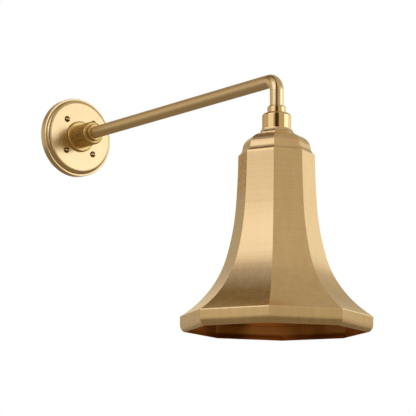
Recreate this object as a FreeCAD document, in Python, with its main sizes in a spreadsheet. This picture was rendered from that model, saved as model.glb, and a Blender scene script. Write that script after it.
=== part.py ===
import FreeCAD, Part
import math
import operator
import os
import Sketcher

Vector = FreeCAD.Vector
Constraint = Sketcher.Constraint

# Frame: the wall is the plane y = 0, the arm runs out along -Y at z = 0, +Z is up.
# Levels out from the wall are positive; levels down from the arm's axis are positive too.
SIZES = [
    # clearance between pieces that are pressed, screwed or soldered together
    ("fit", 0.05),
    # how far a cutting solid runs past what it cuts
    ("overcut", 2.0),
    # wall plate
    ("plateRad", 63.5), ("plateBand", 10.4), ("plateLine", 0.6), ("plateShelf", 2.4),
    ("plateDepth", 17.0), ("plateWall", 1.6),
    # plate screws, on a square pattern
    ("screwCircle", 72.0), ("screwRad", 2.05), ("screwSlack", 0.35), ("screwSpare", 1.0),
    ("headRad", 5.0), ("headEdge", 0.5), ("headRise", 2.4), ("slotHalf", 0.6),
    ("slotDeep", 1.3),
    # mounting ring, its standoffs and its ground screw
    ("ringRad", 52.0), ("ringBore", 14.0), ("ringThick", 2.0), ("boxSlotAt", 39.75),
    ("boxSlotRun", 6.25), ("boxSlotHalf", 2.4), ("postWall", 1.9), ("groundInset", 12.0),
    ("groundHead", 4.2),
    # wires, threaded nipples, nuts and washers
    ("wireRad", 1.1), ("wireSide", 1.6), ("wireSlack", 0.9), ("nippleWall", 1.4),
    ("nutWall", 2.15), ("nutThick", 3.6), ("washerWall", 3.2), ("washerThick", 0.8),
    ("nippleSpare", 3.0),
    # arm tube
    ("tubeRad", 9.525), ("tubeWall", 1.25), ("reach", 500.0), ("bendRad", 16.0),
    # hub
    ("flangeProud", 6.5), ("flangeThick", 4.4), ("flangeRound", 2.2), ("barrelWall", 8.925),
    ("barrelLong", 35.1), ("barrelRound", 3.0), ("tubeSeat", 8.6), ("collarWall", 4.025),
    ("collarLong", 6.0), ("collarRound", 1.5),
    # drop collar, bushing and socket cup
    ("dropTop", 38.4), ("dropWall", 3.325), ("dropRound", 2.6), ("dropSeat", 7.6),
    ("dropFloor", 3.3), ("dropBevel", 1.4), ("bushDeep", 10.0), ("cupRad", 20.0),
    ("cupRound", 3.8), ("cupWall", 1.2), ("cupDeep", 22.3),
    # neck: half widths across the flats, and heights
    ("neckProud", 0.1), ("neckFlare", 3.6), ("neckLip", 0.3), ("neckCoveDeep", 6.4),
    ("neckRound", 9.0), ("neckDeep", 8.4),
    # shade: half widths across the flats, and heights, from the top down
    ("shadeWall", 1.2), ("topWall", 1.4), ("boreSlack", 0.4), ("domeReach", 17.9),
    ("domeDeep", 12.4), ("domeRound", 20.0), ("sillProud", 0.7), ("sillDeep", 2.6),
    ("stepProud", 1.0), ("stepDeep", 5.0), ("stepRound", 10.0), ("shoulderProud", 4.6),
    ("shoulderDeep", 7.0), ("cornerProud", 0.4), ("cornerDeep", 3.0),
    ("flareLean", 0.0078), ("flareOne", 1150.0), ("flareOneDeep", 70.6),
    ("flareTwo", 357.8), ("flareTwoDeep", 68.2), ("flareThree", 139.6),
    ("flareThreeDeep", 79.8), ("rimProud", 0.4), ("rimLine", 1.4), ("rimBand", 10.0),
    ("rimRound", 12.5), ("rimTuck", 5.0), ("rimTurnDeep", 10.0),
    # lampholder
    ("capSlack", 1.8), ("capWall", 2.6), ("capDeep", 9.9), ("nippleEntry", 3.3),
    ("floorDeep", 14.5), ("holderDeep", 50.0), ("shellSlack", 0.5), ("shellWall", 0.4),
    ("shellSpare", 3.0), ("contactRad", 4.0), ("contactDeep", 3.5), ("padWide", 6.1),
    ("padThick", 1.0), ("ringShy", 1.0), ("ringStep", 2.5), ("ringLip", 1.8),
    ("ringDeep", 7.0), ("terminalAt", 9.6), ("terminalRad", 3.0), ("terminalRise", 1.8),
    ("wireTurn", 2.5), ("wireLift", 2.7),
    # lamp
    ("lampGap", 0.1), ("tipRad", 4.8), ("tipDeep", 2.3), ("vitriteShy", 2.0),
    ("vitriteDeep", 3.0), ("baseRad", 13.0), ("baseWall", 0.4), ("baseDeep", 22.6),
    ("glassSlack", 0.1), ("glassEntry", 6.0), ("glassNeckDeep", 4.0), ("glassWide", 27.49),
    ("glassWaistDeep", 34.6), ("glassRad", 30.0), ("glassEndDeep", 42.0),
    ("glassWall", 0.8), ("stemRad", 3.0), ("stemDeep", 26.6), ("loopRad", 2.2),
    ("loopWire", 0.5), ("loopLeg", 24.0),
]

SIGNS = {"+": operator.add, "-": operator.sub, "*": operator.mul, "/": operator.truediv}


class Dim:
    """A length that carries its value and the sheet expression it comes from."""

    def __init__(self, value, text):
        self.value = value
        self.text = text

    def __add__(self, other):
        return joined(self, "+", other)

    def __radd__(self, other):
        return joined(other, "+", self)

    def __sub__(self, other):
        return joined(self, "-", other)

    def __rsub__(self, other):
        return joined(other, "-", self)

    def __mul__(self, other):
        return joined(self, "*", other)

    def __rmul__(self, other):
        return joined(other, "*", self)

    def __truediv__(self, other):
        return joined(self, "/", other)

    def __neg__(self):
        return Dim(-self.value, f"(0 - {self.text})")


def dim(length):
    """The same length as a Dim, for plain numbers too."""
    if isinstance(length, Dim):
        return length
    return Dim(float(length), f"({float(length)})")


def joined(one, sign, other):
    one = dim(one)
    other = dim(other)
    return Dim(SIGNS[sign](one.value, other.value), f"({one.text} {sign} {other.text})")


def root(length):
    """Square root of a Dim."""
    return Dim(math.sqrt(length.value), f"sqrt({length.text})")


doc = FreeCAD.newDocument("WallSconce")
sheet = doc.addObject("Spreadsheet::Sheet", "Dims")


class Sizes:
    """The sheet's values, by alias."""


s = Sizes()
for row, (alias, number) in enumerate(SIZES, start=1):
    sheet.set(f"A{row}", alias)
    sheet.set(f"B{row}", str(number))
    sheet.setAlias(f"B{row}", alias)
    setattr(s, alias, Dim(number, f"Dims.{alias}"))
doc.recompute()

# Radii that follow from the sizes.
s.nippleBore = s.wireSide + s.wireRad + s.wireSlack
s.nippleRad = s.nippleBore + s.nippleWall
s.nippleHole = s.nippleRad + s.fit
s.nutHalf = s.nippleRad + s.nutWall
s.washerRad = s.nippleRad + s.washerWall
s.tubeHole = s.tubeRad + s.fit
s.collarRad = s.tubeHole + s.collarWall
s.barrelRad = s.tubeHole + s.barrelWall
s.flangeRad = s.barrelRad + s.flangeProud
s.dropRad = s.tubeHole + s.dropWall
s.postBore = s.screwRad + s.fit
s.groundAt = s.ringRad - s.groundInset
s.plateShoulder = s.plateDepth - s.plateBand - s.plateLine
s.plateFace = s.plateRad - s.plateLine - s.plateShelf - s.plateShoulder
s.capRad = s.cupRad - s.cupWall - s.capSlack
s.shadeBore = s.capRad + s.boreSlack
s.neckFlat = s.cupRad + s.neckProud
s.neckWide = s.neckFlat + s.neckFlare
s.neckFoot = s.neckWide + s.neckLip
s.domeWide = s.neckFoot + s.domeReach
s.sillWide = s.domeWide + s.sillProud
s.stepWide = s.sillWide + s.stepProud
s.shoulderWide = s.stepWide + s.shoulderProud
s.flareWide = s.shoulderWide + s.cornerProud
s.shellBore = s.baseRad + s.shellSlack
s.shellRad = s.shellBore + s.shellWall
s.glassNeck = s.baseRad - s.baseWall - s.glassSlack
s.vitriteRad = s.baseRad - s.vitriteShy

# Levels out from the wall.
s.plateBack = s.plateDepth - s.plateWall
s.flangeFront = s.plateDepth + s.flangeThick
s.barrelEnd = s.flangeFront + s.barrelLong
s.collarEnd = s.barrelEnd + s.collarLong
s.tubeStart = s.flangeFront + s.tubeSeat
s.washerBack = s.plateBack - s.washerThick
s.nutBack = s.washerBack - s.nutThick
s.hubNippleBack = s.nutBack - s.nippleSpare
s.screwTip = s.ringThick + s.screwSpare

# Levels down from the arm's axis.
s.tubeEnd = s.dropTop + s.dropSeat
s.cupTop = s.tubeEnd + s.dropFloor
s.cupNutEnd = s.cupTop + s.cupWall + s.nutThick
s.cupEnd = s.cupTop + s.cupDeep
s.shadeTop = s.cupEnd + s.neckDeep
s.domeLow = s.shadeTop + s.domeDeep
s.sillLow = s.domeLow + s.sillDeep
s.stepLow = s.sillLow + s.stepDeep
s.shoulderLow = s.stepLow + s.shoulderDeep
s.flareTop = s.shoulderLow + s.cornerDeep
s.capEnd = s.cupNutEnd + s.capDeep
s.dropNippleEnd = s.cupNutEnd + s.capWall + s.nippleEntry
s.holderFloor = s.capEnd + s.floorDeep
s.holderEnd = s.capEnd + s.holderDeep
s.shellEnd = s.holderEnd - s.shellSpare
s.contactEnd = s.holderFloor + s.contactDeep
s.wireLow = s.capEnd - s.wireLift
s.padTop = s.shadeTop + s.topWall
s.ringTop = s.padTop + s.padThick
s.ringEnd = s.ringTop + s.ringDeep
s.tipTop = s.contactEnd + s.lampGap
s.tipEnd = s.tipTop + s.tipDeep
s.vitriteEnd = s.tipEnd + s.vitriteDeep
s.baseEnd = s.vitriteEnd + s.baseDeep
s.glassTop = s.baseEnd - s.glassEntry
s.glassNeckEnd = s.baseEnd + s.glassNeckDeep
s.glassWaist = s.glassNeckEnd + s.glassWaistDeep
s.glassEnd = s.glassWaist + s.glassEndDeep
s.stemEnd = s.glassTop + s.stemDeep

NODES = []


def bind(thing, prop, length):
    """Tie one property of an object to the sheet."""
    thing.setExpression(prop, dim(length).text)


def place(thing, base, turn=None):
    """Give an object its placement, with its base bound to the sheet."""
    spot = Vector(*[dim(c).value for c in base])
    thing.Placement = FreeCAD.Placement(spot, turn or FreeCAD.Rotation())
    for axis, length in zip("xyz", base):
        if isinstance(length, Dim):
            bind(thing, f"Placement.Base.{axis}", length)


OUT = FreeCAD.Rotation(Vector(1, 0, 0), 90)


def new_body(label, base, turn=None):
    body = doc.addObject("PartDesign::Body", label)
    body.Label = label
    place(body, base, turn)
    NODES.append(body)
    return body


def origin_plane(body, role):
    return next(f for f in body.Origin.OriginFeatures if f.Role == role)


def new_sketch(body, role, name):
    sketch = body.newObject("Sketcher::SketchObject", name)
    sketch.AttachmentSupport = [(origin_plane(body, role), "")]
    sketch.MapMode = "FlatFace"
    return sketch


def pin(sketch, geo, pos, spot):
    """Fix a point of a sketch at a spot whose parts are bound to the sheet."""
    for kind, axis, length in (("DistanceX", -2, spot[0]), ("DistanceY", -1, spot[1])):
        length = dim(length)
        if length.value == 0:
            sketch.addConstraint(Constraint("PointOnObject", geo, pos, axis))
            continue
        rule = sketch.addConstraint(Constraint(kind, -1, 1, geo, pos, length.value))
        sketch.setExpression(f"Constraints[{rule}]", length.text)


def arc_side(start, end, radius, bulge):
    """Short arc from start to end, bulging left (1) or right (-1), and its end codes."""
    chord = end - start
    half = chord.Length / 2
    left = Vector(-chord.y, chord.x, 0).normalize()
    sag = math.sqrt(max(radius * radius - half * half, 0))
    centre = (start + end) * 0.5 - left * (sag * bulge)
    first, last = (end, start) if bulge > 0 else (start, end)
    angles = [math.atan2(p.y - centre.y, p.x - centre.x) for p in (first, last)]
    circle = Part.Circle(centre, Vector(0, 0, 1), radius)
    codes = (2, 1) if bulge > 0 else (1, 2)
    return Part.ArcOfCircle(circle, angles[0], angles[1]), codes


def draw(sketch, points, arcs=None, closed=True):
    """Chain of lines and arcs through points; arcs maps a side to (radius, bulge).

    A side with no radius is a half circle that stands on a line across Y.
    """
    arcs = arcs or {}
    spots = [Vector(dim(x).value, dim(y).value, 0) for x, y in points]
    count = len(points) if closed else len(points) - 1
    ends = []
    for side in range(count):
        start = spots[side]
        end = spots[(side + 1) % len(points)]
        if side in arcs:
            radius, bulge = arcs[side]
            length = (end - start).Length / 2 if radius is None else dim(radius).value
            shape, codes = arc_side(start, end, length, bulge)
        else:
            shape, codes = Part.LineSegment(start, end), (1, 2)
        ends.append((sketch.addGeometry(shape), codes))
    for side, (geo, codes) in enumerate(ends):
        pin(sketch, geo, codes[0], points[side])
        if closed or side + 1 < count:
            after, codes_after = ends[(side + 1) % count]
            sketch.addConstraint(
                Constraint("Coincident", geo, codes[1], after, codes_after[0]))
        else:
            pin(sketch, geo, codes[1], points[-1])
        if side in arcs and arcs[side][0] is None:
            across = dim(points[side][0])
            rule = sketch.addConstraint(Constraint("DistanceX", -1, 1, geo, 3, across.value))
            sketch.setExpression(f"Constraints[{rule}]", across.text)
        elif side in arcs:
            radius = dim(arcs[side][0])
            rule = sketch.addConstraint(Constraint("Radius", geo, radius.value))
            sketch.setExpression(f"Constraints[{rule}]", radius.text)


def draw_circle(sketch, spot, radius):
    centre = Vector(dim(spot[0]).value, dim(spot[1]).value, 0)
    geo = sketch.addGeometry(Part.Circle(centre, Vector(0, 0, 1), radius.value))
    pin(sketch, geo, 3, spot)
    rule = sketch.addConstraint(Constraint("Radius", geo, radius.value))
    sketch.setExpression(f"Constraints[{rule}]", radius.text)


def turned(label, base, points, arcs=None, turn=None):
    """A piece turned about its own Z axis from a half section (radius, level)."""
    body = new_body(label, base, turn)
    sketch = new_sketch(body, "XZ_Plane", label + "_section")
    draw(sketch, points, arcs)
    feature = body.newObject("PartDesign::Revolution", label + "_turned")
    feature.Profile = sketch
    feature.ReferenceAxis = (sketch, ["V_Axis"])
    feature.Angle = 360
    return body


def padded(label, base, thick, turn=None):
    """An empty body, its outline sketch and its pad, for flat pieces."""
    body = new_body(label, base, turn)
    sketch = new_sketch(body, "XY_Plane", label + "_outline")
    feature = body.newObject("PartDesign::Pad", label + "_pad")
    feature.Profile = sketch
    bind(feature, "Length", thick)
    return body, sketch


def cut_through(body, sketch, length):
    """Cut a sketch through a body, both ways from its plane."""
    cut = body.newObject("PartDesign::Pocket", sketch.Name + "_cut")
    cut.Profile = sketch
    cut.SideType = "Symmetric"
    bind(cut, "Length", length)
    return cut


def ring_of(body, cut, sketch, count):
    """Repeat a cut evenly about the body's own Z axis."""
    pattern = body.newObject("PartDesign::PolarPattern", cut.Name + "_ring")
    pattern.Originals = [cut]
    pattern.Axis = (sketch, ["N_Axis"])
    pattern.Angle = 360
    pattern.Occurrences = count
    body.Tip = pattern


def hexagon(sketch, half):
    """Six sides, half across the flats."""
    far = half * 2 / math.sqrt(3)
    near = half / math.sqrt(3)
    draw(sketch, [(far, 0), (near, half), (-near, half), (-far, 0), (-near, -half),
                  (near, -half)])


def nut(label, base, turn=None):
    """Hexagon nut on the threaded nipple."""
    body, sketch = padded(label, base, s.nutThick, turn)
    hexagon(sketch, s.nutHalf)
    draw_circle(sketch, (0, 0), s.nippleHole)


def slot_head(body, top, half, deep):
    """Screwdriver slot across a head, along the body's own X axis."""
    sketch = new_sketch(body, "YZ_Plane", body.Name + "_slot")
    draw(sketch, [(-half, top - deep), (half, top - deep), (half, top + deep),
                  (-half, top + deep)])
    cut_through(body, sketch, s.headRad * 4)


def round_screw(label, base, tip, seat, shank, head, edge, rise, turn):
    """Round-head slotted screw; tip, seat and head are levels along its axis."""
    dome = (head * head + rise * rise) / (rise * 2)
    points = [(0, tip), (shank, tip), (shank, seat), (head, seat), (head, seat + edge),
              (0, seat + edge + rise)]
    body = turned(label, base, points, {4: (dome, -1)}, turn)
    slot_head(body, seat + edge + rise, s.slotHalf, s.slotDeep)


def bored_ring(label, base, bore, low, wide, high, turn=None):
    """Plain ring: bore and outer radius, from one level to another."""
    return turned(label, base, [(bore, low), (wide, low), (wide, high), (bore, high)],
                  None, turn)


# ---- wall plate and what holds it ----

def wall_plate():
    """Spun plate, hollow behind, with a straight band and a rounded shoulder."""
    step = s.plateBand + s.plateLine
    inside = s.plateFace + s.plateShoulder - s.plateWall
    points = [
        (s.plateRad, 0), (s.plateRad, s.plateBand), (s.plateRad - s.plateLine, step),
        (s.plateFace + s.plateShoulder, step), (s.plateFace, s.plateDepth),
        (s.nippleHole, s.plateDepth), (s.nippleHole, s.plateBack),
        (s.plateFace, s.plateBack), (inside, step), (inside, step - s.plateWall),
        (s.plateRad - s.plateWall, step - s.plateWall), (s.plateRad - s.plateWall, 0),
    ]
    arcs = {3: (s.plateShoulder, -1), 7: (s.plateShoulder - s.plateWall, 1)}
    body = turned("wall_plate", (0, 0, 0), points, arcs, OUT)
    holes = new_sketch(body, "XY_Plane", "wall_plate_holes")
    spot = s.screwCircle / (2 * math.sqrt(2))
    draw_circle(holes, (spot, spot), s.screwRad + s.screwSlack)
    cut = cut_through(body, holes, s.plateDepth * 3)
    ring_of(body, cut, holes, 4)


def mounting_ring():
    """Steel ring against the wall, slotted for the two outlet-box screws."""
    body, sketch = padded("mounting_ring", (0, 0, 0), s.ringThick, OUT)
    draw_circle(sketch, (0, 0), s.ringRad)
    draw_circle(sketch, (0, 0), s.ringBore)
    slot = new_sketch(body, "XY_Plane", "mounting_ring_slot")
    half = s.boxSlotHalf
    near = s.boxSlotAt - s.boxSlotRun
    far = s.boxSlotAt + s.boxSlotRun
    draw(slot, [(near, -half), (far, -half), (far, half), (near, half)],
         {1: (None, -1), 3: (None, -1)})
    cut = cut_through(body, slot, s.ringThick * 4)
    ring_of(body, cut, slot, 2)


def plate_fixings():
    """Four standoffs on the ring and the four slotted screws that enter them."""
    side = s.screwCircle / (2 * math.sqrt(2))
    corners = [(side, side), (-side, side), (-side, -side), (side, -side)]
    for number, (x, z) in enumerate(corners, start=1):
        base = (x, 0, z)
        bored_ring(f"standoff_{number}", base, s.postBore, s.ringThick,
                   s.postBore + s.postWall, s.plateBack, OUT)
        round_screw(f"plate_screw_{number}", base, s.screwTip, s.plateDepth, s.screwRad,
                    s.headRad, s.headEdge, s.headRise, OUT)


def ground_screw():
    """Green earthing screw on the mounting ring."""
    top = s.ringThick + s.headEdge * 2
    points = [(0, s.ringThick), (s.groundHead, s.ringThick), (s.groundHead, top),
              (0, top + s.headEdge * 2)]
    body = turned("ground_screw", (0, 0, -s.groundAt), points, None, OUT)
    slot_head(body, top + s.headEdge * 2, s.slotHalf, s.slotDeep)


# ---- hub and arm ----

def hub():
    """Flange, barrel and collar in front of the plate; nipple, washer and nut behind."""
    origin = (0, 0, 0)
    front = s.flangeFront
    edge = s.flangeThick - s.flangeRound
    turned("hub_flange", origin, [
        (s.nippleHole, s.plateDepth), (s.flangeRad - edge / 3, s.plateDepth),
        (s.flangeRad, s.plateDepth + edge / 3), (s.flangeRad, s.plateDepth + edge),
        (s.flangeRad - s.flangeRound, front), (s.nippleHole, front),
    ], {3: (s.flangeRound, -1)}, OUT)
    turned("hub_body", origin, [
        (s.nippleHole, front), (s.barrelRad, front),
        (s.barrelRad, s.barrelEnd - s.barrelRound),
        (s.barrelRad - s.barrelRound, s.barrelEnd), (s.tubeHole, s.barrelEnd),
        (s.tubeHole, s.tubeStart), (s.nippleHole, s.tubeStart),
    ], {2: (s.barrelRound, -1)}, OUT)
    turned("arm_collar", origin, [
        (s.tubeHole, s.barrelEnd), (s.collarRad, s.barrelEnd),
        (s.collarRad, s.collarEnd - s.collarRound),
        (s.collarRad - s.collarRound, s.collarEnd), (s.tubeHole, s.collarEnd),
    ], {2: (s.collarRound, -1)}, OUT)
    bored_ring("hub_nipple", origin, s.nippleBore, s.hubNippleBack, s.nippleRad,
               s.tubeStart, OUT)
    bored_ring("hub_lockwasher", origin, s.nippleHole, s.washerBack, s.washerRad,
               s.plateBack, OUT)
    nut("hub_locknut", (0, -s.nutBack, 0), OUT)


def run(label, base, points, arcs, circles):
    """A round bar or tube along lines and arcs in the plane across X."""
    body = new_body(label, base)
    route = new_sketch(body, "YZ_Plane", label + "_route")
    draw(route, points, arcs, closed=False)
    section = new_sketch(body, "XZ_Plane", label + "_section")
    for radius in circles:
        draw_circle(section, (0, 0), radius)
    pipe = body.newObject("PartDesign::AdditivePipe", label + "_pipe")
    pipe.Profile = section
    pipe.Spine = (route, [f"Edge{k + 1}" for k in range(len(points) - 1)])
    return body


def arm_tube():
    """Straight tube with one tight elbow and a short drop."""
    far = s.reach - s.tubeStart
    points = [(0, 0), (-(far - s.bendRad), 0), (-far, -s.bendRad), (-far, -s.tubeEnd)]
    run("arm_tube", (0, -s.tubeStart, 0), points, {1: (s.bendRad, -1)},
        [s.tubeRad, s.tubeRad - s.tubeWall])


def wires():
    """Two insulated wires from the back of the hub to the lampholder's screws."""
    far = s.reach - s.hubNippleBack
    reach_out = s.terminalAt - s.terminalRad - s.fit
    for label, side, way in (("wire_line", s.wireSide, 1), ("wire_neutral", -s.wireSide, -1)):
        points = [
            (0, 0), (-(far - s.bendRad), 0), (-far, -s.bendRad),
            (-far, -(s.wireLow - s.wireTurn)), (-(far + s.wireTurn * way), -s.wireLow),
            (-(far + reach_out * way), -s.wireLow),
        ]
        run(label, (side, -s.hubNippleBack, 0), points,
            {1: (s.bendRad, -1), 3: (s.wireTurn, way)}, [s.wireRad])


# ---- below the elbow; all turned about the shade's axis ----

AXIS = (0, -s.reach, 0)


def drop():
    """Bushing in the tube's end, collar round it, threaded nipple through both."""
    high = s.tubeEnd - s.bushDeep
    bored_ring("tube_bushing", AXIS, s.nippleHole, -s.tubeEnd,
               s.tubeRad - s.tubeWall - s.fit, -high)
    turned("drop_collar", AXIS, [
        (s.tubeHole, -s.dropTop), (s.dropRad - s.dropRound, -s.dropTop),
        (s.dropRad, -s.dropTop - s.dropRound), (s.dropRad, -s.cupTop + s.dropBevel),
        (s.dropRad - s.dropBevel, -s.cupTop), (s.nippleHole, -s.cupTop),
        (s.nippleHole, -s.tubeEnd), (s.tubeHole, -s.tubeEnd),
    ], {1: (s.dropRound, 1)})
    bored_ring("drop_nipple", AXIS, s.nippleBore, -s.dropNippleEnd, s.nippleRad, -high)


def socket_cup():
    """Spun cup with a rounded shoulder, and the nut that clamps it."""
    inner = s.cupRad - s.cupWall
    turned("socket_cup", AXIS, [
        (s.nippleHole, -s.cupTop), (s.cupRad - s.cupRound, -s.cupTop),
        (s.cupRad, -s.cupTop - s.cupRound), (s.cupRad, -s.cupEnd), (inner, -s.cupEnd),
        (inner, -s.cupTop - s.cupRound), (s.cupRad - s.cupRound, -s.cupTop - s.cupWall),
        (s.nippleHole, -s.cupTop - s.cupWall),
    ], {1: (s.cupRound, 1), 5: (s.cupRound - s.cupWall, -1)})
    nut("cup_locknut", (0, -s.reach, -s.cupNutEnd))


def eight_sided(name, half, width):
    """Solid whose eight walls all follow one half profile, top to bottom.

    half lists (flat, level) points and their arcs; four copies of the mirrored
    profile, each drawn out across its own pair of flats, are intersected.
    """
    points, arcs = half
    last = len(points) - 1
    loop = list(points) + [(-flat, level) for flat, level in reversed(points)]
    sides = dict(arcs)
    for side, rule in arcs.items():
        sides[2 * last - side] = rule
    sketch = doc.addObject("Sketcher::SketchObject", name + "_profile")
    sketch.Placement = FreeCAD.Placement(Vector(0, 0, 0), OUT)
    draw(sketch, loop, sides)
    walls = []
    for number in range(4):
        wall = doc.addObject("Part::Extrusion", f"{name}_walls_{number + 1}")
        wall.Base = sketch
        wall.DirMode = "Normal"
        wall.Solid = True
        wall.Symmetric = True
        bind(wall, "LengthFwd", width * 2.4)
        turn = FreeCAD.Rotation(Vector(0, 0, 1), 22.5 + 45 * number)
        wall.Placement = FreeCAD.Placement(Vector(0, 0, 0), turn)
        walls.append(wall)
    solid = doc.addObject("Part::MultiCommon", name)
    solid.Shapes = walls
    return solid


def plug(name, radius, low, high):
    """Cylinder on the local axis between two levels below the arm."""
    rod = doc.addObject("Part::Cylinder", name)
    bind(rod, "Radius", radius)
    bind(rod, "Height", low - high)
    place(rod, (0, 0, -low))
    return rod


def less(label, base, tool):
    """Base minus tool, standing on the shade's axis."""
    cut = doc.addObject("Part::Cut", label)
    cut.Base = base
    cut.Tool = tool
    return cut


def shade_neck():
    """Cast eight-sided neck with a hollow flare, between the cup and the shade."""
    solid = eight_sided("neck_block", ([
        (s.neckFlat, -s.cupEnd), (s.neckWide, -s.cupEnd - s.neckCoveDeep),
        (s.neckFoot, -s.shadeTop),
    ], {0: (s.neckRound, -1)}), s.neckFoot)
    neck = less("shade_neck", solid, plug("neck_bore", s.shadeBore,
                                          s.shadeTop + s.overcut, s.cupEnd - s.overcut))
    place(neck, AXIS)
    NODES.append(neck)


def flare(inset):
    """Three tangent arcs of the trumpet, set in by a wall, with their radii and end."""
    lean = s.flareLean
    upright = root(1 - lean * lean)
    wide = s.flareWide
    low = s.flareTop
    points = [(wide - upright * inset, -(low + lean * inset))]
    radii = []
    for radius, deep in ((s.flareOne, s.flareOneDeep), (s.flareTwo, s.flareTwoDeep),
                         (s.flareThree, s.flareThreeDeep)):
        lean = lean + deep / radius
        after = root(1 - lean * lean)
        wide = wide + radius * (upright - after)
        upright = after
        low = low + deep
        points.append((wide - upright * inset, -(low + lean * inset)))
        radii.append((radius + inset, -1))
    return points, radii, wide, low


def shade():
    """Bell of eight pressed facets: dome, step, trumpet flare, upright rim and lip.

    The facets are cut from one eight-sided skin along its corners, where the real
    sheets are mitred and soldered.
    """
    curve, radii, wide, low = flare(dim(0))
    rim = wide + s.rimProud
    turn = low + s.rimLine + s.rimBand
    end = turn + s.rimTurnDeep
    outer = [
        (s.neckFoot, -s.shadeTop), (s.domeWide, -s.domeLow), (s.sillWide, -s.sillLow),
        (s.stepWide, -s.stepLow), (s.shoulderWide, -s.shoulderLow),
    ] + curve + [(rim, -low - s.rimLine), (rim, -turn), (rim - s.rimTuck, -end)]
    arcs = {0: (s.domeRound, 1), 3: (s.stepRound, -1), 10: (s.rimRound, 1)}
    for number, rule in enumerate(radii):
        arcs[5 + number] = rule
    solid = eight_sided("bell_block", (outer, arcs), rim)

    wall = s.shadeWall
    curve, radii, wide, low = flare(wall)
    inner = [
        (s.neckFoot + wall / 2, -s.padTop), (s.domeWide - wall * 0.9, -s.domeLow - wall * 0.4),
        (s.sillWide - wall, -s.sillLow - wall / 4), (s.stepWide - wall, -s.stepLow - wall / 4),
        (s.shoulderWide - wall * 0.75, -s.shoulderLow - wall * 0.8),
    ] + curve + [
        (rim - wall, -low - s.rimLine - wall / 2), (rim - wall, -turn),
        (rim - wall - s.rimTuck, -end), (rim - wall - s.rimTuck, -end - s.overcut),
    ]
    arcs = {0: (s.domeRound - wall, 1), 3: (s.stepRound + wall, -1),
            10: (s.rimRound - wall, 1)}
    for number, rule in enumerate(radii):
        arcs[5 + number] = rule
    hollow = eight_sided("bell_hollow", (inner, arcs), rim)
    skin = less("bell_skin", solid, hollow)
    bore = plug("bell_bore", s.shadeBore, s.padTop + s.overcut, s.shadeTop - s.overcut)
    bell = less("bell_bored", skin, bore)
    for number in range(8):
        sector = doc.addObject("Part::Cylinder", f"facet_sector_{number + 1}")
        sector.Angle = 45
        bind(sector, "Radius", rim * 1.3)
        bind(sector, "Height", end - s.shadeTop + s.overcut * 2)
        place(sector, (0, 0, -end - s.overcut), FreeCAD.Rotation(Vector(0, 0, 1), 45 * number))
        facet = doc.addObject("Part::MultiCommon", f"shade_facet_{number + 1}")
        facet.Shapes = [bell, sector]
        place(facet, AXIS)
        NODES.append(facet)


# ---- lampholder ----

def lampholder():
    """Cap, ceramic body, screw shell, centre contact, and the ring that clamps the shade."""
    top = s.cupNutEnd
    soft = (s.cupWall + s.capSlack) * 0.5
    turned("lampholder_cap", AXIS, [
        (s.nippleHole, -top), (s.capRad - soft, -top), (s.capRad, -top - soft),
        (s.capRad, -s.capEnd), (s.capRad - soft, -s.capEnd),
        (s.capRad - soft, -top - s.capWall), (s.nippleHole, -top - s.capWall),
    ], {1: (soft, 1)})
    bore = s.shellRad + s.fit * 2
    turned("lampholder_body", AXIS, [
        (0, -s.capEnd), (s.capRad, -s.capEnd), (s.capRad, -s.holderEnd),
        (bore, -s.holderEnd), (bore, -s.holderFloor), (0, -s.holderFloor),
    ])
    mouth = s.contactRad + s.shellSlack * 3
    turned("screw_shell", AXIS, [
        (mouth, -s.holderFloor), (s.shellRad, -s.holderFloor), (s.shellRad, -s.shellEnd),
        (s.shellBore, -s.shellEnd), (s.shellBore, -s.holderFloor - s.shellWall),
        (mouth, -s.holderFloor - s.shellWall),
    ])
    turned("centre_contact", AXIS, [
        (0, -s.holderFloor), (s.contactRad, -s.holderFloor),
        (s.contactRad, -s.contactEnd + s.contactDeep * 0.3),
        (s.contactRad * 0.65, -s.contactEnd), (0, -s.contactEnd),
    ])
    thread = s.capRad + s.fit
    wide = s.shadeBore + s.padWide
    bored_ring("shade_washer", AXIS, thread, -s.ringTop, wide, -s.padTop)
    lip = s.ringTop + s.ringLip
    turned("shade_ring", AXIS, [
        (thread, -s.ringTop), (wide - s.ringShy, -s.ringTop), (wide - s.ringShy, -lip),
        (wide - s.ringShy - s.ringStep, -lip - s.ringLip / 4),
        (wide - s.ringShy - s.ringStep, -s.ringEnd), (thread, -s.ringEnd),
    ])
    crown = s.terminalRise * 4 / 3
    for number, way in ((1, -1), (2, 1)):
        base = (-s.wireSide * way, -s.reach + s.terminalAt * way, -s.capEnd)
        points = [(0, 0), (s.terminalRad, 0), (s.terminalRad, s.terminalRise), (0, crown)]
        body = turned(f"terminal_screw_{number}", base, points)
        slot_head(body, crown, s.slotHalf * 0.75, s.slotDeep * 0.75)


# ---- lamp ----

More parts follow.
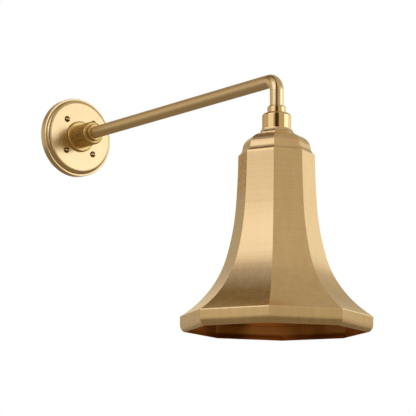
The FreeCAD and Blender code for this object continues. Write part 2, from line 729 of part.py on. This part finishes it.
def lamp():
    """Screw-in lamp: contact, insulator, base, glass, stem and hairpin filament."""
    soft = s.tipRad / 4
    turned("bulb_contact", AXIS, [
        (0, -s.tipTop), (s.tipRad - soft, -s.tipTop), (s.tipRad, -s.tipTop - soft / 2),
        (s.tipRad, -s.tipEnd), (0, -s.tipEnd),
    ])
    turned("bulb_insulator", AXIS, [
        (0, -s.tipEnd), (s.tipRad * 1.2, -s.tipEnd), (s.vitriteRad, -s.vitriteEnd),
        (0, -s.vitriteEnd),
    ])
    thin = s.baseWall
    ledge = s.vitriteRad - s.vitriteShy
    slope = s.vitriteShy * 0.7
    turned("bulb_base", AXIS, [
        (ledge, -s.vitriteEnd), (s.vitriteRad, -s.vitriteEnd),
        (s.baseRad, -s.vitriteEnd - slope), (s.baseRad, -s.baseEnd),
        (s.baseRad - thin, -s.baseEnd), (s.baseRad - thin, -s.vitriteEnd - slope - thin / 2),
        (s.vitriteRad - thin / 4, -s.vitriteEnd - thin), (ledge, -s.vitriteEnd - thin),
    ])
    skin = s.glassWall
    turned("bulb_glass", AXIS, [
        (s.glassNeck, -s.glassTop), (s.glassNeck, -s.glassNeckEnd),
        (s.glassWide, -s.glassWaist), (0, -s.glassEnd), (0, -s.glassEnd + skin),
        (s.glassWide - skin * 0.92, -s.glassWaist - skin * 0.4),
        (s.glassNeck - skin, -s.glassNeckEnd - skin / 4), (s.glassNeck - skin, -s.glassTop),
    ], {2: (s.glassRad, 1), 4: (s.glassRad - skin, -1)})
    hold = s.glassNeck - skin - s.fit
    turned("bulb_stem", AXIS, [
        (0, -s.glassTop - skin), (hold, -s.glassTop - skin), (hold, -s.glassTop - skin * 3),
        (s.stemRad * 1.5, -s.glassTop - s.stemDeep * 0.3),
        (s.stemRad, -s.glassTop - s.stemDeep / 2), (s.stemRad, -s.stemEnd), (0, -s.stemEnd),
    ])
    body = new_body("bulb_filament", (0, -s.reach, -s.stemEnd))
    route = new_sketch(body, "XZ_Plane", "bulb_filament_route")
    foot = s.loopRad
    draw(route, [(foot, 0), (foot, -s.loopLeg), (0, -s.loopLeg - foot), (-foot, -s.loopLeg),
                 (-foot, 0)], {1: (foot, 1), 2: (foot, 1)}, closed=False)
    section = body.newObject("Sketcher::SketchObject", "bulb_filament_section")
    section.AttachmentSupport = [(route, "Edge1")]
    section.MapMode = "NormalToEdge"
    draw_circle(section, (0, 0), s.loopWire)
    pipe = body.newObject("PartDesign::AdditivePipe", "bulb_filament_pipe")
    pipe.Profile = section
    pipe.Spine = (route, ["Edge1", "Edge2", "Edge3", "Edge4"])


wall_plate()
mounting_ring()
plate_fixings()
ground_screw()
hub()
arm_tube()
drop()
socket_cup()
shade_neck()
shade()
lampholder()
wires()
lamp()
doc.recompute()

for thing in doc.Objects:
    if "Invalid" in thing.State or "Error" in thing.State:
        raise RuntimeError(f"{thing.Name} did not build: {thing.State}")
for node in NODES:
    if node.Shape.isNull() or not node.Shape.isValid():
        raise RuntimeError(f"{node.Label} has no valid shape")

os.makedirs("parts", exist_ok=True)
for node in NODES:
    node.Shape.exportStep(f"parts/{node.Label}.step")
    box = node.Shape.BoundBox
    print(f"{node.Label}: {node.Shape.Volume:.0f} mm3, {len(node.Shape.Solids)} solid, "
          f"x {box.XMin:.1f} {box.XMax:.1f}, y {box.YMin:.1f} {box.YMax:.1f}, "
          f"z {box.ZMin:.1f} {box.ZMax:.1f}")
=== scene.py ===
import bpy
from math import cos, pi, radians, sin
from mathutils import Matrix, Vector


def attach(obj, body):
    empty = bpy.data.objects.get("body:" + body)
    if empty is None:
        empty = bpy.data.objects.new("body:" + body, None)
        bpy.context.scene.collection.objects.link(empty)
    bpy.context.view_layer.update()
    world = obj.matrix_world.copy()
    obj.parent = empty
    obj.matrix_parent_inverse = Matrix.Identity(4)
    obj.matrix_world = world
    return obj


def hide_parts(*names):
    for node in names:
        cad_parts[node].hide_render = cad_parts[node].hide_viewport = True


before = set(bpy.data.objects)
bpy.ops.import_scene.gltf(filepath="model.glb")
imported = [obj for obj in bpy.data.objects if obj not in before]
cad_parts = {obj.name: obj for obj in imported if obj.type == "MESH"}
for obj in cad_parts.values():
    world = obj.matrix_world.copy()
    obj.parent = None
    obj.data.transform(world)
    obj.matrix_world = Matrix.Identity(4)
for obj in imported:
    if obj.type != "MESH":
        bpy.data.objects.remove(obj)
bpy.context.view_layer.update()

# ---- Mounting ring, standoffs and ground screw ----
# A stamped steel ring against the wall, slotted for the outlet box's screws, with four
# riveted standoffs. Bright zinc plating gives it a cool grey, faintly mottled sheen.


def linear(code):
    """Linear colour of an sRGB hex value."""
    parts = [int(code[i:i + 2], 16) / 255 for i in (1, 3, 5)]
    return [c / 12.92 if c <= 0.04045 else ((c + 0.055) / 1.055) ** 2.4 for c in parts] + [1]


def add(tree, kind, inputs=None, **settings):
    """A node of a material or world, with its settings, values and links."""
    made = tree.nodes.new("ShaderNode" + kind)
    for name, value in settings.items():
        setattr(made, name, value)
    for name, value in (inputs or {}).items():
        if isinstance(value, bpy.types.NodeSocket):
            tree.links.new(value, made.inputs[name])
        else:
            made.inputs[name].default_value = value
    return made


def blank(name):
    """An empty material, its tree and its output node."""
    material = bpy.data.materials.new(name)
    material.use_nodes = True
    tree = material.node_tree
    tree.nodes.clear()
    return material, tree, add(tree, "OutputMaterial")


def dress(material, *names):
    """Give CAD nodes their finish."""
    for name in names:
        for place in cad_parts[name].material_slots:
            place.link = "OBJECT"
            place.material = material


def tumbled_metal(name, tint):
    """Metal finished in a barrel: cool, slightly cloudy, with soft tumbling marks."""
    material, tree, out = blank(name)
    where = add(tree, "TexCoord").outputs["Object"]
    # cloud patches about 4 mm across, tumbling marks about 0.4 mm
    cloud = add(tree, "TexNoise", {"Vector": where, "Scale": 250, "Detail": 3})
    marks = add(tree, "TexNoise", {"Vector": where, "Scale": 2500, "Detail": 2})
    tone = add(tree, "ValToRGB", {"Fac": cloud.outputs["Fac"]})
    tone.color_ramp.elements[0].color = linear(tint[0])
    tone.color_ramp.elements[1].color = linear(tint[1])
    rough = add(tree, "MapRange", {"Value": cloud.outputs["Fac"], "To Min": 0.28,
                                   "To Max": 0.42})
    bump = add(tree, "Bump", {"Height": marks.outputs["Fac"], "Strength": 0.08,
                              "Distance": 0.0003})
    metal = add(tree, "BsdfPrincipled", {
        "Base Color": tone.outputs["Color"], "Metallic": 1.0,
        "Roughness": rough.outputs["Result"], "Normal": bump.outputs["Normal"]})
    tree.links.new(metal.outputs["BSDF"], out.inputs["Surface"])
    return material


zinc = tumbled_metal("bright_zinc_plate", ("#A9ADB2", "#D2D5D8"))
# the ground screw is dyed, so that it is found at once
green = tumbled_metal("green_dyed_zinc_plate", ("#1F5C34", "#3E8A55"))
dress(zinc, "mounting_ring", "standoff_1", "standoff_2", "standoff_3", "standoff_4")
dress(green, "ground_screw")

# ---- Wall plate ----
# Brass sheet spun over a former, with a straight band, a fine line and a rounded
# shoulder. The lathe leaves faint circles round the centre, under a clear lacquer.

BRASS_DARK = "#E0C18E"
BRASS_LIGHT = "#F0D5A6"


def spun_brass(name, roughness, depth, dark=BRASS_DARK, light=BRASS_LIGHT):
    """Satin brass finished on a lathe, with rings about the arm's axis."""
    material, tree, out = blank(name)
    where = add(tree, "TexCoord").outputs["Object"]
    apart = add(tree, "SeparateXYZ", {"Vector": where})
    across = add(tree, "CombineXYZ", {"X": apart.outputs["X"], "Y": apart.outputs["Z"]})
    radius = add(tree, "VectorMath", {0: across.outputs["Vector"]}, operation="LENGTH")
    track = add(tree, "Math", {0: radius.outputs["Value"], 1: apart.outputs["Y"]},
                operation="ADD")
    # real tool marks lie 0.1 mm apart; drawn at 0.8 mm so that they show
    rings = add(tree, "TexNoise", {"W": track.outputs["Value"], "Scale": 1250, "Detail": 2},
                noise_dimensions="1D")
    cloud = add(tree, "TexNoise", {"Vector": where, "Scale": 35, "Detail": 2})
    tone = add(tree, "ValToRGB", {"Fac": cloud.outputs["Fac"]})
    tone.color_ramp.elements[0].color = linear(dark)
    tone.color_ramp.elements[1].color = linear(light)
    rough = add(tree, "MapRange", {"Value": rings.outputs["Fac"], "To Min": roughness - 0.04,
                                   "To Max": roughness + 0.06})
    bump = add(tree, "Bump", {"Height": rings.outputs["Fac"], "Strength": depth,
                              "Distance": 0.0002})
    metal = add(tree, "BsdfPrincipled", {
        "Base Color": tone.outputs["Color"], "Metallic": 1.0,
        "Roughness": rough.outputs["Result"], "Normal": bump.outputs["Normal"]})
    tree.links.new(metal.outputs["BSDF"], out.inputs["Surface"])
    return material


dress(spun_brass("spun_satin_brass", 0.26, 0.015, "#E3C693", "#F2DAAB"), "wall_plate")

# ---- Plate screws ----
# Four round-head slotted machine screws, turned from brass bar, driven through the plate into
# the standoffs. Their heads are painted dark as shade, with a painted highlight where the
# crown faces straight out.


def slotted_brass():
    """Turned brass painted dark as shade, with a painted highlight on the crown that faces
    out.
    """
    material, tree, out = blank("darkened_screw_brass")
    space = add(tree, "TexCoord")
    # blotches about 1 mm across
    blotch = add(tree, "TexNoise", {"Vector": space.outputs["Object"], "Scale": 1000,
                                    "Detail": 2})
    # the head's dark brass is painted shade
    tone = add(tree, "ValToRGB", {"Fac": blotch.outputs["Fac"]})
    tone.color_ramp.elements[0].color = linear("#6E5128")
    tone.color_ramp.elements[1].color = linear("#94723E")
    # the crown that faces straight out from the wall gets a painted highlight in pale brass
    facing = add(tree, "VectorMath", {0: space.outputs["Normal"], 1: (0, -1, 0)},
                 operation="DOT_PRODUCT")
    painted_highlight = add(tree, "MapRange", {"Value": facing.outputs["Value"], "From Min": 0.975,
                                  "From Max": 0.995})
    colour = add(tree, "Mix", {0: painted_highlight.outputs["Result"], 6: tone.outputs["Color"],
                               7: linear(BRASS_LIGHT)}, data_type="RGBA")
    bump = add(tree, "Bump", {"Height": blotch.outputs["Fac"], "Strength": 0.05,
                              "Distance": 0.0002})
    metal = add(tree, "BsdfPrincipled", {
        "Base Color": colour.outputs[2], "Metallic": 1.0, "Roughness": 0.24,
        "Normal": bump.outputs["Normal"]})
    tree.links.new(metal.outputs["BSDF"], out.inputs["Surface"])
    return material


dress(slotted_brass(), "plate_screw_1", "plate_screw_2", "plate_screw_3", "plate_screw_4")

# ---- Hub ----
# A cast brass flange, a thick turned barrel and a small collar, drawn tight against the
# plate by a steel nipple with a lock washer and a locknut behind.

hub_brass = spun_brass("turned_satin_brass", 0.32, 0.02, "#D8B672", "#EACE8F")
dress(hub_brass, "hub_flange", "hub_body", "arm_collar")
dress(zinc, "hub_nipple", "hub_lockwasher", "hub_locknut")

# ---- Arm tube and its wires ----
# Seamless brass tube, bent on a mandrel and brushed along its length by hand, so it
# looks duller than the turned pieces. Two plastic-covered stranded wires run inside.


def brushed_tube():
    """Brass tube brushed lengthwise: long fine scratches, dull and even."""
    material, tree, out = blank("brushed_tube_brass")
    where = add(tree, "TexCoord").outputs["Object"]
    # scratches 1 mm wide and about 40 mm long, along the arm and down the drop
    along = add(tree, "Mapping", {"Vector": where, "Scale": (1000, 25, 1000)})
    down = add(tree, "Mapping", {"Vector": where, "Scale": (1000, 1000, 25)})
    apart = add(tree, "SeparateXYZ", {"Vector": where})
    bend = add(tree, "MapRange", {"Value": apart.outputs["Y"], "From Min": -0.492,
                                  "From Max": -0.474})
    arm = add(tree, "TexNoise", {"Vector": along.outputs["Vector"], "Scale": 1, "Detail": 2})
    leg = add(tree, "TexNoise", {"Vector": down.outputs["Vector"], "Scale": 1, "Detail": 2})
    lines = add(tree, "Mix", {0: bend.outputs["Result"], 2: leg.outputs["Fac"],
                              3: arm.outputs["Fac"]}, data_type="FLOAT")
    tone = add(tree, "ValToRGB", {"Fac": lines.outputs[0]})
    tone.color_ramp.elements[0].color = linear("#E8CB99")
    tone.color_ramp.elements[1].color = linear("#F6DFB4")
    # the elbow and the drop were buffed after the bend was brazed
    rough = add(tree, "Mix", {0: bend.outputs["Result"], 2: 0.17, 3: 0.38}, data_type="FLOAT")
    rough = add(tree, "Math", {0: lines.outputs[0], 1: 0.08, 2: rough.outputs[0]},
                operation="MULTIPLY_ADD")
    bump = add(tree, "Bump", {"Height": lines.outputs[0], "Strength": 0.05,
                              "Distance": 0.0002})
    metal = add(tree, "BsdfPrincipled", {
        "Base Color": tone.outputs["Color"], "Metallic": 1.0,
        "Roughness": rough.outputs[0], "Normal": bump.outputs["Normal"]})
    tree.links.new(metal.outputs["BSDF"], out.inputs["Surface"])
    return material


def moulded(name, dark, light, roughness, grain, depth):
    """Moulded or pressed plastic and fibre: a fine grain of that size in metres."""
    material, tree, out = blank(name)
    where = add(tree, "TexCoord").outputs["Object"]
    grains = add(tree, "TexNoise", {"Vector": where, "Scale": 1 / grain, "Detail": 3})
    tone = add(tree, "ValToRGB", {"Fac": grains.outputs["Fac"]})
    tone.color_ramp.elements[0].color = linear(dark)
    tone.color_ramp.elements[1].color = linear(light)
    bump = add(tree, "Bump", {"Height": grains.outputs["Fac"], "Strength": depth,
                              "Distance": grain / 4})
    body = add(tree, "BsdfPrincipled", {
        "Base Color": tone.outputs["Color"], "Roughness": roughness,
        "Normal": bump.outputs["Normal"]})
    tree.links.new(body.outputs["BSDF"], out.inputs["Surface"])
    return material


dress(brushed_tube(), "arm_tube")
dress(moulded("black_pvc_insulation", "#0B0B0C", "#18181A", 0.45, 0.0008, 0.1), "wire_line")
dress(moulded("white_pvc_insulation", "#CFCFCB", "#E6E6E2", 0.45, 0.0008, 0.1),
      "wire_neutral")

# ---- Drop collar, bushing and nipple ----
# A turned collar soldered round the tube's end, buffed brighter than the tube, with a
# steel bushing and a threaded nipple inside.


def buffed_brass():
    """Brass buffed on a wheel: clear reflections with faint level wheel marks."""
    material, tree, out = blank("buffed_brass")
    where = add(tree, "TexCoord").outputs["Object"]
    # wheel marks 0.4 mm apart, level round the piece
    level = add(tree, "Mapping", {"Vector": where, "Scale": (60, 60, 2500)})
    marks = add(tree, "TexNoise", {"Vector": level.outputs["Vector"], "Scale": 1,
                                   "Detail": 2})
    tone = add(tree, "ValToRGB", {"Fac": marks.outputs["Fac"]})
    tone.color_ramp.elements[0].color = linear("#E3C38C")
    tone.color_ramp.elements[1].color = linear("#F2D7A4")
    rough = add(tree, "MapRange", {"Value": marks.outputs["Fac"], "To Min": 0.09,
                                   "To Max": 0.14})
    bump = add(tree, "Bump", {"Height": marks.outputs["Fac"], "Strength": 0.04,
                              "Distance": 0.0002})
    metal = add(tree, "BsdfPrincipled", {
        "Base Color": tone.outputs["Color"], "Metallic": 1.0,
        "Roughness": rough.outputs["Result"], "Normal": bump.outputs["Normal"]})
    tree.links.new(metal.outputs["BSDF"], out.inputs["Surface"])
    return material


buffed = buffed_brass()
dress(buffed, "drop_collar")
dress(zinc, "tube_bushing", "drop_nipple")

# ---- Socket cup ----
# Spun brass cup that hides the lampholder, buffed like the collar, clamped by a steel
# locknut on the nipple.

dress(buffed, "socket_cup")
dress(zinc, "cup_locknut")

# ---- Neck and shade ----
# Eight sheet-brass facets pressed to one trumpet curve, with a dome above a small step
# and an upright rim, mitred and soldered along the corners. A belt brushes it level.

REACH = 0.5  # from the wall to the axis of the shade


def belt_brushed_brass():
    """Satin brass from an abrasive belt, with level lines; inside, painted browner as shade,
    with a painted warm glow.
    """
    material, tree, out = blank("belt_brushed_brass")
    space = add(tree, "TexCoord")
    where = space.outputs["Object"]
    # belt lines are 0.1 mm apart; drawn at 3 mm by 80 mm so that they show
    level = add(tree, "Mapping", {"Vector": where, "Scale": (12, 12, 330)})
    lines = add(tree, "TexNoise", {"Vector": level.outputs["Vector"], "Scale": 1,
                                   "Detail": 1})
    # smears of hand polishing run down the facets, 8 mm by 70 mm
    down = add(tree, "Mapping", {"Vector": where, "Scale": (120, 120, 14)})
    smear = add(tree, "TexNoise", {"Vector": down.outputs["Vector"], "Scale": 1,
                                   "Detail": 2})
    both = add(tree, "Mix", {0: 0.6, 2: lines.outputs["Fac"], 3: smear.outputs["Fac"]},
               data_type="FLOAT")
    tone = add(tree, "ValToRGB", {"Fac": both.outputs[0]})
    tone.color_ramp.elements[0].position = 0.2
    tone.color_ramp.elements[1].position = 0.8
    tone.color_ramp.elements[0].color = linear(BRASS_DARK)
    tone.color_ramp.elements[1].color = linear(BRASS_LIGHT)
    # walls that face the axis were left unbrushed, so they are rougher; their colour is
    # painted browner and darker as shade inside the shade, with patches 60 mm across of
    # painted warm glow from light bouncing between the walls
    spoke = add(tree, "VectorMath", {0: where, 1: (0, REACH, 0)}, operation="ADD")
    spoke = add(tree, "VectorMath", {0: spoke.outputs["Vector"], 1: (1, 1, 0)},
                operation="MULTIPLY")
    inward = add(tree, "VectorMath", {0: spoke.outputs["Vector"],
                                      1: space.outputs["Normal"]},
                 operation="DOT_PRODUCT")
    inward = add(tree, "Math", {0: inward.outputs["Value"], 1: 0}, operation="LESS_THAN")
    painted_inner_glow = add(tree, "TexNoise", {"Vector": where, "Scale": 16, "Detail": 1})
    painted_inner_glow = add(tree, "ValToRGB", {"Fac": painted_inner_glow.outputs["Fac"]})
    painted_inner_glow.color_ramp.elements[0].position = 0.35
    painted_inner_glow.color_ramp.elements[1].position = 0.65
    painted_inner_glow.color_ramp.elements[0].color = linear("#A67638")
    painted_inner_glow.color_ramp.elements[1].color = linear("#EDB871")
    # inside, the brushed tone gives way to the painted shade and painted glow
    colour = add(tree, "Mix", {0: inward.outputs[0], 6: tone.outputs["Color"],
                               7: painted_inner_glow.outputs["Color"]}, data_type="RGBA")
    rough = add(tree, "MapRange", {"Value": both.outputs[0], "From Min": 0.3, "From Max": 0.7,
                                   "To Min": 0.24, "To Max": 0.31})
    rough = add(tree, "Mix", {0: inward.outputs[0], 2: rough.outputs["Result"], 3: 0.42},
                data_type="FLOAT")
    bump = add(tree, "Bump", {"Height": both.outputs[0], "Strength": 0.12,
                              "Distance": 0.0006})
    metal = add(tree, "BsdfPrincipled", {
        "Base Color": colour.outputs[2], "Metallic": 1.0,
        "Roughness": rough.outputs[0], "Normal": bump.outputs["Normal"]})
    tree.links.new(metal.outputs["BSDF"], out.inputs["Surface"])
    return material


dress(belt_brushed_brass(), "shade_neck", *[f"shade_facet_{i}" for i in range(1, 9)])

# ---- Lampholder ----
# A glazed ceramic body under a black phenolic cap, with a rolled brass screw shell and
# a sprung contact. A phenolic ring and a fibre washer clamp the shade from inside.


def glazed_ceramic():
    """White electrical porcelain: milky, with a wet glaze over slight ripples."""
    material, tree, out = blank("glazed_white_porcelain")
    where = add(tree, "TexCoord").outputs["Object"]
    ripple = add(tree, "TexNoise", {"Vector": where, "Scale": 160, "Detail": 1})
    speck = add(tree, "TexNoise", {"Vector": where, "Scale": 900, "Detail": 2})
    tone = add(tree, "ValToRGB", {"Fac": speck.outputs["Fac"]})
    tone.color_ramp.elements[0].color = linear("#DEDAD0")
    tone.color_ramp.elements[1].color = linear("#F0EEE8")
    bump = add(tree, "Bump", {"Height": ripple.outputs["Fac"], "Strength": 0.05,
                              "Distance": 0.0005})
    body = add(tree, "BsdfPrincipled", {
        "Base Color": tone.outputs["Color"], "Roughness": 0.3, "Coat Weight": 0.8,
        "Coat Roughness": 0.06, "Normal": bump.outputs["Normal"]})
    tree.links.new(body.outputs["BSDF"], out.inputs["Surface"])
    return material


PITCH = 3.629  # mm a turn: seven threads to the inch, as on every lamp of this size
ROUND = 64  # points round a sleeve
TURN_ROWS = 12  # rows of points in one turn of the thread


def screw_sleeve(name, body, material, above, thread, below):
    """A round sleeve on the shade's axis whose wall carries a rolled screw thread.

    above and below are rows of (radius, level) next to the thread; thread is (mean
    radius, height of its wave, top, bottom). All are in mm, with the arm at level 0.
    """
    radius, wave, top, bottom = thread
    rows = int((top - bottom) / PITCH * TURN_ROWS)
    levels = [(r, z, 0) for r, z in above]
    for row in range(rows + 1):
        z = top + (bottom - top) * row / rows
        # the wave dies out over the first and last quarter of the thread
        fade = min(1, 4 * row / rows, 4 * (rows - row) / rows)
        levels.append((radius, z, wave * fade))
    levels += [(r, z, 0) for r, z in below]
    points = []
    for r, z, swell in levels:
        for step in range(ROUND):
            angle = 2 * pi * step / ROUND
            out = (r + swell * cos(2 * pi * z / PITCH - angle)) / 1000
            points.append((out * cos(angle), out * sin(angle) - REACH, z / 1000))
    faces = [(row * ROUND + step, row * ROUND + (step + 1) % ROUND,
              (row + 1) * ROUND + (step + 1) % ROUND, (row + 1) * ROUND + step)
             for row in range(len(levels) - 1) for step in range(ROUND)]
    mesh = bpy.data.meshes.new(name)
    mesh.from_pydata(points, [], faces)
    mesh.shade_smooth()
    mesh.materials.append(material)
    piece = bpy.data.objects.new(name, mesh)
    bpy.context.scene.collection.objects.link(piece)
    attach(piece, body)
    return piece


shell_brass = spun_brass("rolled_shell_brass", 0.25, 0.05)
shell = screw_sleeve("shell_thread", "fixture", shell_brass,
                     [(5.5, -78.9), (13.5, -78.9)], (13.65, 0.28, -80, -109.8),
                     [(13.75, -111)])
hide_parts("screw_shell")
dress(shell_brass, "centre_contact", "terminal_screw_2")
dress(zinc, "terminal_screw_1")
dress(glazed_ceramic(), "lampholder_body")
phenolic = moulded("black_phenolic", "#0C0B0B", "#1B1918", 0.35, 0.0006, 0.08)
dress(phenolic, "lampholder_cap", "shade_ring")
dress(moulded("red_fibre_washer", "#5E2F22", "#834637", 0.7, 0.0005, 0.4), "shade_washer")

# ---- Lamp ----
# A clear screw-in lamp: rolled aluminium thread, black glass insulator, soldered
# contact, blown bulb with a glass stem and a hairpin filament. Its thread turns in the
# shell's, so the lamp is the one piece that moves.

lamp_metal = tumbled_metal("rolled_aluminium", ("#B9BABC", "#DEDFE0"))
thread = screw_sleeve("lamp_thread", "lamp", lamp_metal,
                      [(9.0, -87.5), (11.0, -87.5), (12.3, -88.7)],
                      (12.6, 0.38, -89.4, -108.6), [(12.95, -109.2), (12.95, -110)])
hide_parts("bulb_base")
dress(lamp_metal, "bulb_contact")
dress(moulded("black_vitrite", "#070708", "#121214", 0.12, 0.002, 0.03), "bulb_insulator")


def blown_glass():
    """Clear blown soda glass, with slow ripples from the mould."""
    material, tree, out = blank("clear_blown_glass")
    where = add(tree, "TexCoord").outputs["Object"]
    ripple = add(tree, "TexNoise", {"Vector": where, "Scale": 60, "Detail": 1})
    bump = add(tree, "Bump", {"Height": ripple.outputs["Fac"], "Strength": 0.03,
                              "Distance": 0.001})
    glass = add(tree, "BsdfPrincipled", {
        "Base Color": linear("#F7FBFB"), "Roughness": 0.01, "IOR": 1.5,
        "Transmission Weight": 1.0, "Normal": bump.outputs["Normal"]})
    tree.links.new(glass.outputs["BSDF"], out.inputs["Surface"])
    return material


dress(blown_glass(), "bulb_glass", "bulb_stem")
dress(moulded("coated_filament", "#B99136", "#E0BE62", 0.6, 0.0004, 0.3), "bulb_filament")

# ---- Studio ----
# Plain pale floor well below, white surround, two soft lamps high to the left, one in
# front and a wide low one to the right. The camera looks up from the left, as in the photo.

FLOOR_LEVEL, FLOOR_HALF = -3.4, 12
floor_mesh = bpy.data.meshes.new("floor")
floor_mesh.from_pydata([(x * FLOOR_HALF, y * FLOOR_HALF, FLOOR_LEVEL)
                        for x, y in ((-1, -1), (1, -1), (1, 1), (-1, 1))], [], [(0, 1, 2, 3)])
pale, tree, out = blank("pale_floor")
seen = add(tree, "LightPath").outputs["Is Camera Ray"]
colour = add(tree, "Mix", {0: seen, 6: linear("#8E8069"), 7: linear("#F6F6F6")},
             data_type="RGBA")
paint = add(tree, "BsdfDiffuse", {"Color": colour.outputs[2]})
# from 3 to 11 m out the floor runs into the white surround, as a paper sweep does
apart = add(tree, "VectorMath", {0: add(tree, "TexCoord").outputs["Object"], 1: (1, 1, 0)},
            operation="MULTIPLY")
apart = add(tree, "VectorMath", {0: apart.outputs["Vector"]}, operation="LENGTH")
far = add(tree, "MapRange", {"Value": apart.outputs["Value"], "From Min": 3.0,
                             "From Max": 11.0, "To Max": seen},
          interpolation_type="SMOOTHSTEP")
white = add(tree, "Emission", {"Color": (1, 1, 1, 1), "Strength": 1.0})
faded = add(tree, "MixShader", {0: far.outputs["Result"], 1: paint.outputs["BSDF"],
                                2: white.outputs["Emission"]})
tree.links.new(faded.outputs["Shader"], out.inputs["Surface"])
floor_mesh.materials.append(pale)
floor = bpy.data.objects.new("floor", floor_mesh)
bpy.context.scene.collection.objects.link(floor)

# fitted to the outlines in the photograph; its side and the focal length are in pixels
PICTURE, FOCAL = 416, 1606.92
YAW, RISE, ROLL = radians(-38.507), radians(10.079), radians(0.621)
STAND = (-1.4149, -2.1288, -0.5648)
camera = bpy.data.objects.new("camera", bpy.data.cameras.new("camera"))
camera.data.sensor_width = 36
camera.data.lens = camera.data.sensor_width * FOCAL / PICTURE
camera.data.clip_end = 50
camera.matrix_world = (Matrix.Translation(STAND) @ Matrix.Rotation(YAW, 4, "Z")
                       @ Matrix.Rotation(pi / 2 + RISE, 4, "X")
                       @ Matrix.Rotation(ROLL, 4, "Z"))
bpy.context.scene.collection.objects.link(camera)
bpy.context.scene.camera = camera

MIDDLE = Vector((0, -0.4, -0.15))
LAMP_AWAY = 2.4
# the room reflects warm, its dark places brown, and the softboxes are a little cooler
ROOM = 0.48
WARM = (1, 0.87, 0.66, 1)
DUSK = (1, 0.57, 0.08, 1)
COOL = (0.92, 1.03, 1.30)
PLAIN = (0.95, 1.0, 1.0)


def soft_lamp(name, azimuth, elevation, width, height, glow, tint=COOL):
    """A softbox facing the sconce; azimuth 0 is straight out from the wall, 90 is right."""
    turn, rise = radians(azimuth), radians(elevation)
    way = Vector((sin(turn) * cos(rise), -cos(turn) * cos(rise), sin(rise)))
    data = bpy.data.lights.new(name, "AREA")
    data.shape = "RECTANGLE"
    data.size = width
    data.size_y = height
    data.energy = glow * pi * width * height
    data.color = tint
    lamp = bpy.data.objects.new(name, data)
    lamp.location = MIDDLE + way * LAMP_AWAY
    lamp.rotation_euler = way.to_track_quat("Z", "Y").to_euler()
    lamp.visible_camera = False
    bpy.context.scene.collection.objects.link(lamp)


soft_lamp("left_softbox", -86, 28, 1.9, 1.3, 0.40)
soft_lamp("tall_left_softbox", -86, 45, 1.9, 2.5, 0.26)
soft_lamp("right_softbox", 66, 15, 4.0, 0.8, 0.5, PLAIN)
soft_lamp("front_softbox", 40, 14, 1.7, 1.1, 0.65)

world = bpy.data.worlds.new("white_surround")
bpy.context.scene.world = world
world.use_nodes = True
tree = world.node_tree
tree.nodes.clear()
way = add(tree, "TexCoord").outputs["Generated"]
flat = add(tree, "VectorMath", {0: way, 1: (1, 1, 0)}, operation="MULTIPLY")
flat = add(tree, "VectorMath", {0: flat.outputs["Vector"]}, operation="NORMALIZE")
# ways to the white sweep behind the sconce, to the dark gap between the softboxes and to
# the dim ceiling, with the share of light that the last two lack
SWEEP, GAP, CEILING = (0.613, 0.770, 0.175), (-0.623, -0.782, 0), (-0.30, 0.39, 0.87)
GAP_LACKS, CEILING_LACKS, CEILING_BROWN = 0.89, 0.618, 0.6
sweep = add(tree, "VectorMath", {0: way, 1: SWEEP}, operation="DOT_PRODUCT")
sweep = add(tree, "MapRange", {"Value": sweep.outputs["Value"], "From Min": 0.93,
                               "From Max": 0.99, "To Min": ROOM, "To Max": 1.0},
            interpolation_type="SMOOTHSTEP")
gap = add(tree, "VectorMath", {0: flat.outputs["Vector"], 1: GAP}, operation="DOT_PRODUCT")
gap = add(tree, "MapRange", {"Value": gap.outputs["Value"], "From Min": 0.95,
                             "From Max": 0.98}, interpolation_type="SMOOTHSTEP")
gloom = add(tree, "Math", {0: gap.outputs["Result"], 1: -GAP_LACKS, 2: 1},
            operation="MULTIPLY_ADD")
ceiling = add(tree, "VectorMath", {0: way, 1: CEILING}, operation="DOT_PRODUCT")
ceiling = add(tree, "MapRange", {"Value": ceiling.outputs["Value"], "From Min": 0.72,
                                 "From Max": 0.95, "To Max": CEILING_BROWN},
              interpolation_type="SMOOTHSTEP")
dim = add(tree, "Math", {0: ceiling.outputs["Result"], 1: -CEILING_LACKS / CEILING_BROWN,
                         2: 1}, operation="MULTIPLY_ADD")
shown = add(tree, "Math", {0: sweep.outputs["Result"], 1: gloom.outputs[0]},
            operation="MULTIPLY")
shown = add(tree, "Math", {0: shown.outputs[0], 1: dim.outputs[0]}, operation="MULTIPLY")
# soft edges of the lamps to the left, right and front, and the pale wall at the back left
for x, y, z, gain in ((-0.88, -0.03, 0.48, 0.18), (0.96, -0.16, 0.24, 0.08),
                      (-0.65, 0.74, 0.17, 0.10), (-0.05, -0.84, 0.54, 0.10)):
    spill = add(tree, "VectorMath", {0: way, 1: (x, y, z)}, operation="DOT_PRODUCT")
    spill = add(tree, "MapRange", {"Value": spill.outputs["Value"], "From Min": 0.82,
                                   "From Max": 0.98, "To Min": 0.0, "To Max": gain},
                interpolation_type="SMOOTHSTEP")
    shown = add(tree, "Math", {0: shown.outputs[0], 1: spill.outputs["Result"]})
path = add(tree, "LightPath")
mirror = add(tree, "Math", {0: path.outputs["Is Glossy Ray"],
                            1: path.outputs["Is Transmission Ray"]}, operation="MAXIMUM")
level = add(tree, "Mix", {0: mirror.outputs[0], 2: 0.85, 3: shown.outputs[0]},
            data_type="FLOAT")
level = add(tree, "Mix", {0: path.outputs["Is Camera Ray"], 2: level.outputs[0], 3: 1.0},
            data_type="FLOAT")
# the gap and the ceiling are as brown as a room that only the lamps' glow reaches
dusk = add(tree, "Math", {0: gap.outputs["Result"], 1: ceiling.outputs["Result"]},
           operation="MAXIMUM")
tint = add(tree, "Mix", {0: dusk.outputs[0], 6: WARM, 7: DUSK}, data_type="RGBA")
tint = add(tree, "Mix", {0: mirror.outputs[0], 6: (1, 1, 1, 1), 7: tint.outputs[2]},
           data_type="RGBA")
sky = add(tree, "Background", {"Color": tint.outputs[2], "Strength": level.outputs[0]})
end = add(tree, "OutputWorld")
tree.links.new(sky.outputs["Background"], end.inputs["Surface"])

bpy.context.scene.view_settings.view_transform = "Standard"
